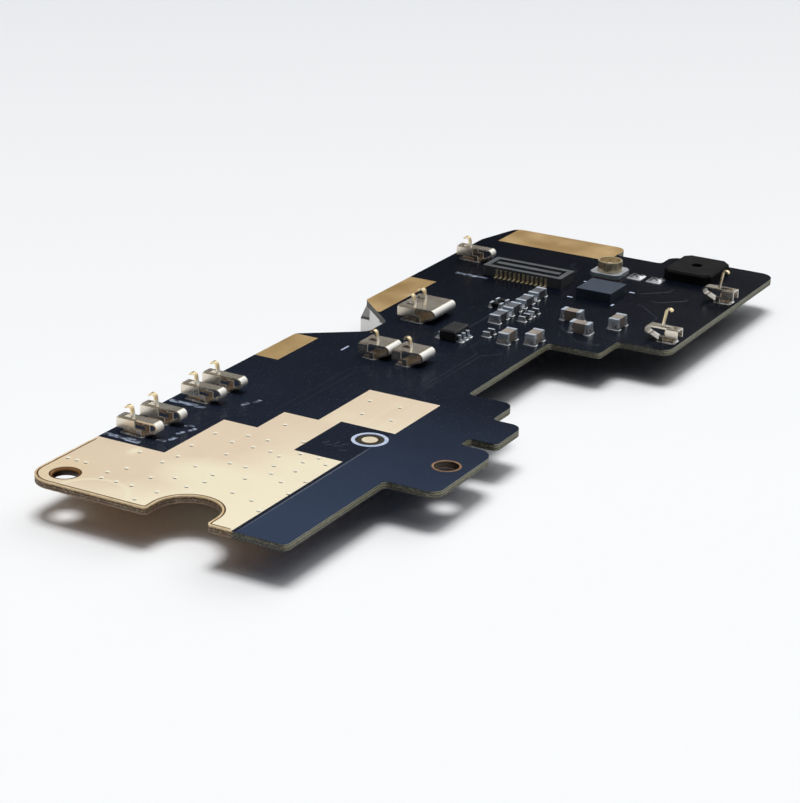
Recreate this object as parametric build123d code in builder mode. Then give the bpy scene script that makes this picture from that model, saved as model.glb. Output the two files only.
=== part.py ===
from build123d import *
import os
from math import cos, radians, sin

os.makedirs("parts", exist_ok=True)

# USB charging board of a phone: a thin two-sided circuit board with spring contacts on its
# upper face and a micro receptacle and two ground gaskets under it.
# Frame: origin on the axis of the corner screw hole, in the board's lower face.
# +X runs across the board, +Y along it, +Z up.  All sizes are millimetres.

# ---------------------------------------------------------------- board sizes
board_thickness = 0.50
film = 0.03                # solder mask and plated copper
left_margin = 2.05         # corner hole axis to the left edge
front_margin = 1.80        # corner hole axis to the front edge
board_width = 25.25
corner_hole_radius = 1.00
edge_hole_radius = 0.85
edge_hole_setback = 1.66   # ear's right edge to the hole axis
edge_hole_rise = 4.26      # ear's front edge to the hole axis
front_corner_radius = 1.90
edge_radius = 0.90         # ordinary outer corners
inner_radius = 0.40        # inner corners left by the cutter

near_width = 19.80         # front block
near_depth = 11.70
ear_reach = 3.85           # ear beyond the front block
ear_length = 8.00
slot_width = 1.30
slot_depth = 2.10
tab_setback = 0.60         # tab behind the ear
tab_length = 3.90
shoulder_setback = 2.40    # behind the tab's right edge
shoulder_length = 3.40
neck_width = 16.95
bay_length = 12.80         # open bay on the right of the neck
step_reach = 4.20          # first step of the far block beyond the neck
step_length = 3.20
far_block_length = 25.10   # from the bay to the far edge

notch_radius = 2.25        # round notch in the front edge
notch_offset = 11.80       # left edge to the notch axis
notch_depth = 3.35
notch_lip = 0.35

far_left_setback = 0.40    # far block's left edge behind the front block's
recess_start = 32.60       # front edge to the left recess
recess_mouth = 9.80
recess_floor_width = 2.70
recess_slant = 3.40        # along the board, of the recess's front flank
recess_depth = 4.35
far_bevel_length = 4.40    # bevelled far left corner
far_bevel_width = 1.10
far_notch_offset = 11.95   # left edge to the notch in the far edge
far_notch_width = 4.10
far_notch_depth = 2.20

# ------------------------------------------------------------- exposed copper
ground_widths = (5.35, 8.02, 10.75, 16.40)   # left edge to each stair of the ground area
ground_rises = (8.00, 15.00, 18.40, 25.30)   # front edge to each tread
ground_right = 15.92       # left edge to the right side beside the front edge
window_left = 12.20        # masked window in the ground area
window_front = 12.95
window_back = 19.00
edge_pad_width = 2.00
near_pad_start = 27.00     # front edge to the near edge pad
far_pad_start = 40.40
far_pad_length = 9.00
far_pad_width = 2.40
strip_length = 10.20       # ground strip along the far edge
strip_width = 4.00
rim_width = 0.22           # copper ring round the edge hole
test_pad_radius = 0.55
test_pad_setback = 4.30    # front block's right edge to the pad axis
test_pad_rise = 17.20      # front edge to the pad axis

# ------------------------------------------------------------ spring contacts
stock = 0.12               # spring strip thickness
contact_height = 1.88
contact_length = 3.20
contact_width = 0.80
contact_lobe = 0.315       # radius of the folded end, to the strip's middle
contact_lift = 0.35        # folded end clear of the board
foot_setback = 0.35        # foot's start behind the plate's free end
foot_climb = 0.75          # run of the slope from the foot to the fold
tongue_angle = 80          # degrees
tongue_width = 0.36
tongue_gap = 0.07          # lanced slot beside the tongue
tongue_setback = 1.00      # plate's free end to the tongue's root
lanced_end = 0.25          # plate left whole beyond the slot
tip_radius = 0.24          # of the hooked contact tip
tip_curl = 70              # degrees past level
guard_strap = 0.15         # joins a guard's wall to its leg
guard_leg = 0.32
guard_reach = 0.50         # wall's end to the outer side of the leg
guard_gap = 0.04
left_contact_inset = 2.16  # left edge to the contact's middle
left_contact_rises = (9.87, 12.57, 17.37, 19.97)
mid_contact_length = 2.50
mid_contact_width = 1.90
mid_contact_pitch = 2.80
mid_contact_setback = 7.78    # near pair's middle from the left edge
mid_contact_fore = 9.60     # wide contact's middle to the pair, towards the front
wide_contact_width = 3.30
wide_contact_inset = 1.97  # recess floor to the contact's middle
wide_contact_rise = 2.30   # past the middle of the recess
right_contact_length = 2.70
right_tongue_setback = 1.40
right_contact_inset = 1.40    # far block's right edge to the contact's middle
right_contact_height = 2.58   # tip above the board
right_contact_rise = 2.15  # far block's front edge to the contact's middle
far_contact_back = 8.70    # far edge to the far right contact
far_left_contact_inset = 2.35
far_left_contact_rise = 15.30    # bay to the far left contact

# ------------------------------------------------------- parts on the far block
connector_length = 7.00
connector_width = 2.60
connector_height = 0.85
connector_wall = 0.45
connector_island = 0.55
connector_floor = 0.20
connector_pin_pitch = 0.40
connector_pins_per_side = 12
connector_pin_width = 0.20
connector_pin_stock = 0.08
connector_foot = 0.40
connector_setback = 8.55   # left edge to the connector's middle
connector_rise = 13.30     # bay to the connector's middle

coax_base_size = 2.60
coax_base_height = 0.35
coax_ring_radius = 1.00
coax_ring_wall = 0.15
coax_ring_height = 1.20
coax_pin_radius = 0.22
coax_pin_height = 0.95
coax_setback = 13.65       # left edge to the coax axis
coax_back = 7.20           # far edge to the coax axis

microphone_length = 3.76
microphone_width = 2.95
microphone_height = 0.58
sound_port_radius = 0.45
boot_wall = 0.55
boot_roof = 0.22
boot_gap = 0.02
boot_rim = 0.15
boot_setback = 19.70       # left edge to the boot's middle
boot_back = 3.45           # far edge to the boot's middle

controller_size = 3.00
controller_height = 0.75
controller_setback = 15.35    # left edge
controller_rise = 12.60    # bay
esd_length = 2.20
esd_width = 1.30
esd_height = 0.85
esd_lead_pitch = 0.65
esd_lead_width = 0.24
esd_lead_stock = 0.12
esd_lead_reach = 0.42
esd_lead_height = 0.42
esd_standoff = 0.06
esd_gap = 2.46             # wide contact's right side to the package's middle
esd_fore = 3.10            # wide contact's middle to the package's middle, towards the front

chip_terminal = 0.18       # share of a chip's length under each end cap
chip_cap_skin = 0.02       # end caps stand proud of the ceramic
capacitor_size = (1.60, 0.80, 0.80)
filter_size = (1.60, 0.80, 0.60)
resistor_size = (1.00, 0.50, 0.35)
capacitor_pitch = 1.80
capacitor_stagger = 0.90
neck_chip_inset = 1.00     # neck's right edge to the nearest chip
neck_chip_setback = 1.30   # bay's far side to the chips on the neck
bulk_chip_gap = 2.80       # right contact to the large capacitor's middle
filter_row_gap = 8.30      # large capacitor to the row of filters
filter_row_start = -0.60   # step of the far block to the first filter
filter_pitch = 2.20
resistor_offset = 1.60     # from the row of filters

# --------------------------------------------------------- parts below the board
usb_width = 7.50
usb_height = 2.35
usb_depth = 5.00
usb_wall = 0.25
usb_bend = 0.35            # outside radius of the shell's bends
usb_bevel_width = 1.15
usb_bevel_height = 1.00
usb_overhang = 0.40        # mouth beyond the board's edge
usb_rise = 46.00           # front edge to the receptacle's middle
usb_block = 1.30           # insulator's rear block
usb_tongue_width = 3.90
usb_tongue_thickness = 0.60
usb_tongue_recess = 0.90   # mouth to the tongue
usb_tongue_level = 1.03    # board to the middle of the tongue
usb_contact_width = 0.28
usb_contact_pitch = 0.65
usb_contact_count = 5
usb_contact_stock = 0.15
usb_tail = 0.80
usb_tail_bend = 0.27       # rear of the shell to the bend of the tails
usb_leg_length = 0.90
usb_leg_stations = (1.25, 4.00)    # mouth to the middle of each leg
usb_window_length = 0.80
usb_window_width = 1.10
usb_window_inset = 1.60

gasket_length = 6.50
gasket_width = 3.50
gasket_radius = 0.60
near_gasket_setback = 11.75
near_gasket_rise = 13.30
far_gasket_back = 12.40    # far edge
far_gasket_inset = 5.80    # far block's right edge
under_pad_size = 1.00
under_pad_pitch = 2.00
under_pad_count = 5

# --------------------------------------------------- places worked out from them
left_edge = -left_margin
front_edge = -front_margin
right_edge = left_edge + board_width
near_right = left_edge + near_width
ear_front = front_edge + near_depth
ear_right = near_right + ear_reach
ear_back = ear_front + ear_length
slot_back = ear_back + slot_width
tab_right = ear_right - tab_setback
slot_floor = tab_right - slot_depth
tab_back = slot_back + tab_length
neck_right = left_edge + neck_width
shoulder_right = tab_right - shoulder_setback
shoulder_back = tab_back + shoulder_length
bay_back = shoulder_back + bay_length
step_right = neck_right + step_reach
step_back = bay_back + step_length
far_edge = bay_back + far_block_length
far_left = left_edge + far_left_setback
recess_front = front_edge + recess_start
recess_floor_front = recess_front + recess_slant
recess_floor_back = recess_floor_front + recess_floor_width
recess_back = recess_front + recess_mouth
recess_floor = left_edge + recess_depth
notch_x = left_edge + notch_offset
notch_y = front_edge + notch_depth - notch_radius
far_notch_left = left_edge + far_notch_offset
far_notch_right = far_notch_left + far_notch_width
far_notch_floor = far_edge - far_notch_depth
edge_hole = (ear_right - edge_hole_setback, ear_front + edge_hole_rise)
test_pad_centre = (near_right - test_pad_setback, front_edge + test_pad_rise)
core_top = board_thickness - film
top = Plane.XY.offset(board_thickness)


def save(part, label):
    part.label = label
    export_step(part, f"parts/{label}.step")


# ---------------------------------------------------------------- board outline
outline_corners = [
    (left_edge, front_edge, front_corner_radius),
    (near_right, front_edge, inner_radius),
    (near_right, ear_front, inner_radius),
    (ear_right, ear_front, edge_radius),
    (ear_right, ear_back, edge_radius + inner_radius),
    (slot_floor, ear_back, inner_radius),
    (slot_floor, slot_back, inner_radius),
    (tab_right, slot_back, inner_radius),
    (tab_right, tab_back, edge_radius),
    (shoulder_right, tab_back, inner_radius),
    (shoulder_right, shoulder_back, edge_radius),
    (neck_right, shoulder_back, inner_radius),
    (neck_right, bay_back, inner_radius),
    (step_right, bay_back, inner_radius),
    (step_right, step_back, inner_radius),
    (right_edge, step_back, edge_radius),
    (right_edge, far_edge, edge_radius + inner_radius),
    (far_notch_right, far_edge, edge_radius),
    (far_notch_right, far_notch_floor, inner_radius),
    (far_notch_left, far_notch_floor, inner_radius),
    (far_notch_left, far_edge, edge_radius),
    (far_left + far_bevel_width, far_edge, edge_radius),
    (far_left, far_edge - far_bevel_length, edge_radius),
    (far_left, recess_back, inner_radius),
    (recess_floor, recess_floor_back, edge_radius),
    (recess_floor, recess_floor_front, edge_radius),
    (left_edge, recess_front, inner_radius),
]

with BuildSketch() as outline:
    with BuildLine():
        FilletPolyline(
            *[(x, y) for x, y, radius in outline_corners],
            radius=[radius for x, y, radius in outline_corners],
            close=True,
        )
    make_face()
    with Locations((notch_x, notch_y)):
        Circle(notch_radius, mode=Mode.SUBTRACT)
        Rectangle(2 * notch_radius, 2 * notch_depth, align=(Align.CENTER, Align.MAX), mode=Mode.SUBTRACT)
    lips = outline.vertices().filter_by_position(
        Axis.X, notch_x - 1.1 * notch_radius, notch_x + 1.1 * notch_radius
    ).filter_by_position(Axis.Y, front_edge - film, front_edge + film)
    fillet(lips, notch_lip)

with BuildSketch() as board_face:
    add(outline.sketch)
    Circle(corner_hole_radius, mode=Mode.SUBTRACT)
    with Locations(edge_hole):
        Circle(edge_hole_radius, mode=Mode.SUBTRACT)

with BuildPart() as board_laminate:
    with BuildSketch(Plane.XY.offset(film)):
        add(board_face.sketch)
    extrude(amount=board_thickness - 2 * film)
save(board_laminate.part, "board_laminate")

# --------------------------------------------------------------- exposed copper
stairs = [(left_edge, front_edge), (left_edge, front_edge + ground_rises[0])]
for index, width in enumerate(ground_widths):
    stairs.append((left_edge + width, front_edge + ground_rises[index]))
    if index + 1 < len(ground_rises):
        stairs.append((left_edge + width, front_edge + ground_rises[index + 1]))
stairs += [
    (left_edge + ground_widths[-1], front_edge + window_back),
    (left_edge + window_left, front_edge + window_back),
    (left_edge + window_left, front_edge + window_front),
    (left_edge + ground_right, front_edge + window_front),
    (left_edge + ground_right, front_edge),
]

with BuildSketch() as ground_face:
    with BuildLine():
        Polyline(*stairs, close=True)
    make_face()
    add(board_face.sketch, mode=Mode.INTERSECT)


def pad_face(x, y, width, length):
    with BuildSketch() as pad:
        with Locations((x, y)):
            Rectangle(width, length, align=Align.MIN)
        add(board_face.sketch, mode=Mode.INTERSECT)
    return pad.sketch


near_pad_face = pad_face(
    left_edge, front_edge + near_pad_start, edge_pad_width, recess_front - front_edge - near_pad_start
)
far_pad_face = pad_face(left_edge, front_edge + far_pad_start, far_pad_width + far_left_setback, far_pad_length)
strip_face = pad_face(
    far_notch_left - strip_length, far_edge - strip_width, strip_length, strip_width
)

with BuildSketch() as rim_face:
    with Locations(edge_hole):
        Circle(edge_hole_radius + rim_width)
        Circle(edge_hole_radius, mode=Mode.SUBTRACT)

with BuildSketch() as test_pad_face:
    with Locations(test_pad_centre):
        Circle(test_pad_radius)

with BuildSketch() as mask_top_face:
    add(board_face.sketch)
    for opening in (ground_face.sketch, near_pad_face, far_pad_face, strip_face):
        add(opening, mode=Mode.SUBTRACT)
    for opening in (rim_face.sketch, test_pad_face.sketch):
        add(opening, mode=Mode.SUBTRACT)


def film_part(label, face, height):
    with BuildPart() as layer:
        with BuildSketch(Plane.XY.offset(height)):
            add(face)
        extrude(amount=film)
    save(layer.part, label)


film_part("mask_top", mask_top_face.sketch, core_top)
film_part("ground_area_top", ground_face.sketch, core_top)
film_part("edge_pad_near", near_pad_face, core_top)
film_part("edge_pad_far", far_pad_face, core_top)
film_part("far_edge_strip", strip_face, core_top)
film_part("edge_hole_rim", rim_face.sketch, core_top)
film_part("test_pad", test_pad_face.sketch, core_top)


# ------------------------------------------------------------- spring contacts
def spring_contact(
    label, x, y, lobe_side, length, width, tongues=1, height=contact_height, setback=tongue_setback
):
    """Folded strip spring: a soldered foot that climbs to a round folded end, a
    sprung plate over it, and narrow tongues lanced from the plate that carry the
    hooked contact tips.  A guard wall on a leg stands along each side."""
    seat = Plane(origin=(x, y, board_thickness), x_dir=(lobe_side, 0, 0), z_dir=(0, 0, 1))
    side = Plane(origin=seat.origin, x_dir=seat.x_dir, z_dir=-seat.y_dir)
    foot_z = stock / 2
    fold_z = contact_lift + stock / 2
    plate_z = fold_z + 2 * contact_lobe
    plate_end = -length / 2
    fold_x = length / 2 - contact_lobe - stock / 2
    foot_end = fold_x - foot_climb
    angle = radians(tongue_angle)
    climb = height - stock / 2 - tip_radius * (1 - cos(angle)) - plate_z
    root_x = plate_end + setback
    leg_x = foot_end - stock
    wall_end = leg_x - guard_reach
    guard_y = width / 2 + guard_gap + stock / 2
    tongue_places = [(index - (tongues - 1) / 2) * width / tongues for index in range(tongues)]

    with BuildPart() as contact:
        with BuildSketch(side):
            with BuildLine():
                Polyline((plate_end + foot_setback, foot_z), (foot_end, foot_z), (fold_x, fold_z))
            trace(line_width=stock)
            with BuildLine():
                lead = Line((fold_x - stock, fold_z), (fold_x, fold_z))
                fold = JernArc(lead @ 1, lead % 1, contact_lobe, 180)
                Line(fold @ 1, (plate_end, plate_z))
            trace(line_width=stock)
        extrude(amount=width / 2, both=True)
        with BuildSketch(seat.offset(plate_z)):
            with Locations(*[(root_x, place) for place in tongue_places]):
                Rectangle(
                    setback - lanced_end,
                    tongue_width + 2 * tongue_gap,
                    align=(Align.MAX, Align.CENTER),
                )
        extrude(amount=contact_lobe, both=True, mode=Mode.SUBTRACT)
        for place in tongue_places:
            with BuildSketch(side.offset(place)):
                with BuildLine():
                    root = Line((root_x + stock, plate_z), (root_x, plate_z))
                    rise = PolarLine(root @ 1, climb / sin(angle), direction=(-cos(angle), sin(angle)))
                    JernArc(rise @ 1, rise % 1, tip_radius, tongue_angle + tip_curl)
                trace(line_width=stock)
            extrude(amount=tongue_width / 2, both=True)
        with BuildSketch(seat):
            with Locations((leg_x, 0)):
                Rectangle(guard_leg, 2 * guard_y + stock, align=(Align.MAX, Align.CENTER))
        extrude(amount=stock)
        for guard_side in (-1, 1):
            with BuildSketch(side.offset(guard_side * guard_y)):
                with Locations((plate_end, contact_lift)):
                    Rectangle(wall_end - plate_end, plate_z - contact_lift, align=Align.MIN)
                    Rectangle(leg_x - plate_end, guard_strap, align=Align.MIN)
                with Locations((leg_x, 0)):
                    Rectangle(guard_leg, contact_lift + guard_strap, align=(Align.MAX, Align.MIN))
            extrude(amount=stock / 2, both=True)
    save(contact.part, label)


for number, rise in enumerate(left_contact_rises, start=1):
    spring_contact(
        f"contact_left_{number}",
        left_edge + left_contact_inset,
        front_edge + rise,
        1,
        contact_length,
        contact_width,
    )
wide_contact = (recess_floor + wide_contact_inset, (recess_floor_front + recess_back) / 2 + wide_contact_rise)
for number in (1, 2):
    spring_contact(
        f"contact_middle_{number}",
        left_edge + mid_contact_setback + (number - 1) * mid_contact_pitch,
        wide_contact[1] - mid_contact_fore,
        1,
        mid_contact_length,
        mid_contact_width,
    )
spring_contact("contact_wide", *wide_contact, 1, contact_length, wide_contact_width, tongues=2)
spring_contact(
    "contact_far_left",
    far_left + far_left_contact_inset,
    bay_back + far_left_contact_rise,
    1,
    contact_length,
    contact_width,
)
right_contact = (right_edge - right_contact_inset, step_back + right_contact_rise)
far_right_contact = (right_edge - right_contact_inset, far_edge - far_contact_back)
for label, place in (("contact_right", right_contact), ("contact_far_right", far_right_contact)):
    spring_contact(
        label,
        *place,
        -1,
        right_contact_length,
        contact_width,
        height=right_contact_height,
        setback=right_tongue_setback,
    )


# ------------------------------------------------------ board-to-board connector
connector_seat = top.shift_origin((left_edge + connector_setback, bay_back + connector_rise, board_thickness))
channel_length = connector_length - 2 * connector_wall
channel_width = connector_width - 2 * connector_wall

with BuildPart() as connector_housing:
    with BuildSketch(connector_seat):
        RectangleRounded(connector_length, connector_width, connector_wall / 3)
    extrude(amount=connector_height)
    with BuildSketch(connector_seat.offset(connector_floor)):
        Rectangle(channel_length, channel_width)
        Rectangle(channel_length - connector_wall, connector_island, mode=Mode.SUBTRACT)
    extrude(amount=connector_height, mode=Mode.SUBTRACT)
save(connector_housing.part, "board_connector_housing")

with BuildPart() as connector_pins:
    for row_side in (-1, 1):
        with BuildSketch(connector_seat):
            with Locations((0, row_side * (connector_width + connector_foot) / 2)):
                with GridLocations(connector_pin_pitch, 1, connector_pins_per_side, 1):
                    Rectangle(connector_pin_width, connector_foot)
        extrude(amount=connector_pin_stock)
        with BuildSketch(connector_seat):
            with Locations((0, row_side * (connector_width + connector_pin_stock) / 2)):
                with GridLocations(connector_pin_pitch, 1, connector_pins_per_side, 1):
                    Rectangle(connector_pin_width, connector_pin_stock)
        extrude(amount=connector_height - connector_floor)
save(connector_pins.part, "board_connector_pins")

# --------------------------------------------------------------- coaxial socket
coax_seat = top.shift_origin((left_edge + coax_setback, far_edge - coax_back, board_thickness))
coax_section = Plane(origin=coax_seat.origin, x_dir=(1, 0, 0), z_dir=(0, -1, 0))
coax_axis = Axis(coax_seat.origin, (0, 0, 1))

with BuildPart() as coax_base:
    with BuildSketch(coax_seat) as base_face:
        Rectangle(coax_base_size, coax_base_size)
        chamfer(base_face.vertices(), coax_base_height)
    extrude(amount=coax_base_height)
save(coax_base.part, "coax_base")

with BuildPart() as coax_ring:
    with BuildSketch(coax_section):
        with Locations((coax_ring_radius - coax_ring_wall, coax_base_height)):
            Rectangle(coax_ring_wall, coax_ring_height - coax_base_height, align=Align.MIN)
    revolve(axis=coax_axis)
save(coax_ring.part, "coax_ring")

with BuildPart() as coax_pin:
    with BuildSketch(coax_seat.offset(coax_base_height)):
        Circle(coax_pin_radius)
    extrude(amount=coax_pin_height - coax_base_height)
save(coax_pin.part, "coax_pin")

# ------------------------------------------------- microphone and its rubber boot
boot_seat = top.shift_origin((left_edge + boot_setback, far_edge - boot_back, board_thickness))
boot_length = microphone_length + 2 * boot_gap + 2 * boot_wall
boot_width = microphone_width + 2 * boot_gap + 2 * boot_wall
boot_height = microphone_height + boot_gap + boot_roof

with BuildPart() as microphone:
    with BuildSketch(boot_seat):
        Rectangle(microphone_width, microphone_length)
    extrude(amount=microphone_height)
save(microphone.part, "microphone")

with BuildPart() as microphone_boot:
    with BuildSketch(boot_seat) as boot_face:
        Rectangle(boot_width, boot_length)
        chamfer(boot_face.vertices(), boot_wall)
    extrude(amount=boot_height)
    chamfer(microphone_boot.edges().group_by(Axis.Z)[-1], boot_rim)
    with BuildSketch(boot_seat):
        Rectangle(microphone_width + 2 * boot_gap, microphone_length + 2 * boot_gap)
    extrude(amount=microphone_height + boot_gap, mode=Mode.SUBTRACT)
    with BuildSketch(boot_seat):
        Circle(sound_port_radius)
    extrude(amount=boot_height, mode=Mode.SUBTRACT)
save(microphone_boot.part, "microphone_boot")

# ------------------------------------------------------------ packages with leads
controller_seat = top.shift_origin(
    (left_edge + controller_setback, bay_back + controller_rise, board_thickness)
)
with BuildPart() as charge_controller:
    with BuildSketch(controller_seat):
        Rectangle(controller_size, controller_size)
    extrude(amount=controller_height)
    chamfer(charge_controller.edges().group_by(Axis.Z)[-1], film)
save(charge_controller.part, "charge_controller")

esd_seat = top.shift_origin(
    (
        wide_contact[0] + contact_length / 2 + esd_gap,
        wide_contact[1] - esd_fore,
        board_thickness,
    )
)
with BuildPart() as esd_package:
    with BuildSketch(esd_seat.offset(esd_standoff)):
        Rectangle(esd_width, esd_length)
    extrude(amount=esd_height - esd_standoff)
    chamfer(esd_package.edges().group_by(Axis.Z)[-1], esd_lead_stock)
save(esd_package.part, "esd_package")

with BuildPart() as esd_leads:
    for lead_side in (-1, 1):
        for index in (-1, 0, 1):
            lead_plane = Plane(
                origin=esd_seat.origin + Vector(0, index * esd_lead_pitch, 0),
                x_dir=(lead_side, 0, 0),
                z_dir=(0, -lead_side, 0),
            )
            with BuildSketch(lead_plane):
                with BuildLine():
                    Polyline(
                        (esd_width / 2, esd_lead_height),
                        (esd_width / 2 + esd_lead_reach / 2, esd_lead_height),
                        (esd_width / 2 + esd_lead_reach / 2, esd_lead_stock / 2),
                        (esd_width / 2 + esd_lead_reach, esd_lead_stock / 2),
                    )
                trace(line_width=esd_lead_stock)
            extrude(amount=esd_lead_width / 2, both=True)
save(esd_leads.part, "esd_leads")


# -------------------------------------------------------------- chip components
def chip_set(label, places, size):
    """Ceramic chips, each with a plated cap over both ends.  A place is the
    chip's middle and its turn about the board's normal."""
    length, width, height = size
    cap = length * chip_terminal
    spots = [top.shift_origin((x, y, board_thickness)).rotated((0, 0, turn)) for x, y, turn in places]
    with BuildPart() as bodies:
        for spot in spots:
            with BuildSketch(spot):
                Rectangle(length - 2 * cap, width)
            extrude(amount=height)
    save(bodies.part, f"{label}_bodies")
    with BuildPart() as ends:
        for spot in spots:
            with BuildSketch(spot):
                with Locations((-(length - cap) / 2, 0), ((length - cap) / 2, 0)):
                    Rectangle(cap, width + 2 * chip_cap_skin)
            extrude(amount=height + chip_cap_skin)
    save(ends.part, f"{label}_ends")


neck_chip_y = bay_back - neck_chip_setback
bulk_chip_x = right_contact[0] - right_contact_length / 2 - bulk_chip_gap
filter_row_x = bulk_chip_x - filter_row_gap
filter_row = [(filter_row_x, step_back + filter_row_start + index * filter_pitch) for index in range(4)]
chip_set(
    "capacitor",
    [
        (neck_right - neck_chip_inset - capacitor_pitch, neck_chip_y, 90),
        (neck_right - neck_chip_inset, neck_chip_y + capacitor_stagger, 90),
        (bulk_chip_x - 2 * capacitor_pitch, right_contact[1] + capacitor_stagger / 2, 0),
        (bulk_chip_x - capacitor_pitch, right_contact[1] - capacitor_pitch, 0),
        (bulk_chip_x, right_contact[1] + capacitor_stagger, 90),
    ],
    capacitor_size,
)
chip_set("filter", [(x, y, 90) for x, y in filter_row], filter_size)
chip_set(
    "resistor",
    [
        (neck_right - neck_chip_inset - 2 * capacitor_pitch, neck_chip_y + capacitor_stagger / 2, 90),
        (filter_row_x + resistor_offset, filter_row[1][1] - resistor_size[0], 90),
        (filter_row_x + resistor_offset, filter_row[1][1] + resistor_size[0] / 2, 90),
        (filter_row_x - resistor_offset, filter_row[1][1] + resistor_size[1], 0),
        (filter_row_x - resistor_offset, filter_row[1][1] + 3 * resistor_size[1], 0),
    ],
    resistor_size,
)

# ---------------------------------------------------------------- micro receptacle
# The mouth faces -X beyond the far block's left edge; the section is bevelled at the
# two corners next to the board and the wide flat side is the lowest face of the part.
usb_y = front_edge + usb_rise
usb_mouth = far_left - usb_overhang
usb_section = Plane(origin=(usb_mouth, usb_y, 0), x_dir=(0, 1, 0), z_dir=(1, 0, 0))


def receptacle_outline():
    """Half-octagon profile: y across the mouth, z up to the board."""
    half = usb_width / 2
    with BuildSketch() as profile:
        with BuildLine():
            Polyline(
                (-half, -usb_height),
                (half, -usb_height),
                (half, -usb_bevel_height),
                (half - usb_bevel_width, 0),
                (usb_bevel_width - half, 0),
                (-half, -usb_bevel_height),
                close=True,
            )
        make_face()
    return profile.sketch


with BuildPart() as usb_shell:
    with BuildSketch(usb_section) as shell_face:
        add(receptacle_outline())
        fillet(shell_face.vertices(), usb_bend)
        offset(receptacle_outline(), amount=-usb_wall, kind=Kind.INTERSECTION, mode=Mode.SUBTRACT)
    extrude(amount=usb_depth)
    with BuildSketch(Plane.XY.offset(-usb_height)):
        with Locations((usb_mouth + usb_window_inset, usb_y)):
            with GridLocations(1, usb_width / 2, 1, 2):
                Rectangle(usb_window_length, usb_window_width)
    extrude(amount=usb_wall, mode=Mode.SUBTRACT)
    for leg_side in (-1, 1):
        leg_y = usb_y + leg_side * (usb_width - usb_wall) / 2
        with BuildSketch(Plane.XY.offset(-usb_height / 2)):
            with Locations(*[(usb_mouth + station, leg_y) for station in usb_leg_stations]):
                Rectangle(usb_leg_length, usb_wall)
        extrude(amount=usb_height / 2)
save(usb_shell.part, "usb_shell")

contact_level = usb_tongue_level + usb_tongue_thickness / 2

with BuildPart() as usb_contacts:
    for index in range(usb_contact_count):
        contact_y = usb_y + (index - (usb_contact_count - 1) / 2) * usb_contact_pitch
        with BuildSketch(Plane(origin=(usb_mouth, contact_y, 0), x_dir=(1, 0, 0), z_dir=(0, -1, 0))):
            with BuildLine():
                Polyline(
                    (usb_tongue_recess + usb_wall, -contact_level),
                    (usb_depth + usb_tail_bend, -contact_level),
                    (usb_depth + usb_tail_bend, -usb_contact_stock / 2),
                    (usb_depth + usb_tail, -usb_contact_stock / 2),
                )
            trace(line_width=usb_contact_stock)
        extrude(amount=usb_contact_width / 2, both=True)
save(usb_contacts.part, "usb_contacts")

with BuildPart() as usb_insulator:
    with BuildSketch(usb_section.offset(usb_depth - usb_block)):
        offset(receptacle_outline(), amount=-usb_wall, kind=Kind.INTERSECTION)
    extrude(amount=usb_block)
    with BuildSketch(usb_section.offset(usb_tongue_recess)):
        with Locations((0, -usb_tongue_level)):
            Rectangle(usb_tongue_width, usb_tongue_thickness)
    extrude(amount=usb_depth - usb_block - usb_tongue_recess)
    add(usb_contacts.part, mode=Mode.SUBTRACT)
save(usb_insulator.part, "usb_insulator")


# ------------------------------------------------------- gaskets and under pads
def ground_gasket(label, x, y):
    """Conductive-cloth block with a rounded free side; it stands on the same
    level as the receptacle's lowest face."""
    with BuildPart() as gasket:
        with BuildSketch(Plane(origin=(x, y, 0), x_dir=(0, 1, 0), z_dir=(1, 0, 0))) as section:
            Rectangle(gasket_width, usb_height, align=(Align.CENTER, Align.MAX))
            fillet(section.vertices().group_by(Axis.Y)[0], gasket_radius)
        extrude(amount=gasket_length / 2, both=True)
    save(gasket.part, label)


ground_gasket("ground_gasket_near", left_edge + near_gasket_setback, front_edge + near_gasket_rise)
ground_gasket("ground_gasket_far", right_edge - far_gasket_inset, far_edge - far_gasket_back)

with BuildSketch() as under_pads_face:
    with Locations(((neck_right + left_edge) / 2, (shoulder_back + tab_back) / 2)):
        with GridLocations(under_pad_pitch, 1, under_pad_count, 1):
            Rectangle(under_pad_size, under_pad_size)
with BuildSketch() as mask_bottom_face:
    add(board_face.sketch)
    add(ground_face.sketch, mode=Mode.SUBTRACT)
    add(rim_face.sketch, mode=Mode.SUBTRACT)
    add(under_pads_face.sketch, mode=Mode.SUBTRACT)
film_part("mask_bottom", mask_bottom_face.sketch, 0)
film_part("ground_area_bottom", ground_face.sketch, 0)
film_part("edge_hole_rim_bottom", rim_face.sketch, 0)
film_part("test_pads_bottom", under_pads_face.sketch, 0)
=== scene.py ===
"""Looks of a small phone charging board: bare gold-plated copper, navy solder
mask, printed marks, solder, drilled vias and spring contacts, on a pale floor.
Lengths are written in millimetres and become metres where a mesh is made."""

import math

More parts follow.
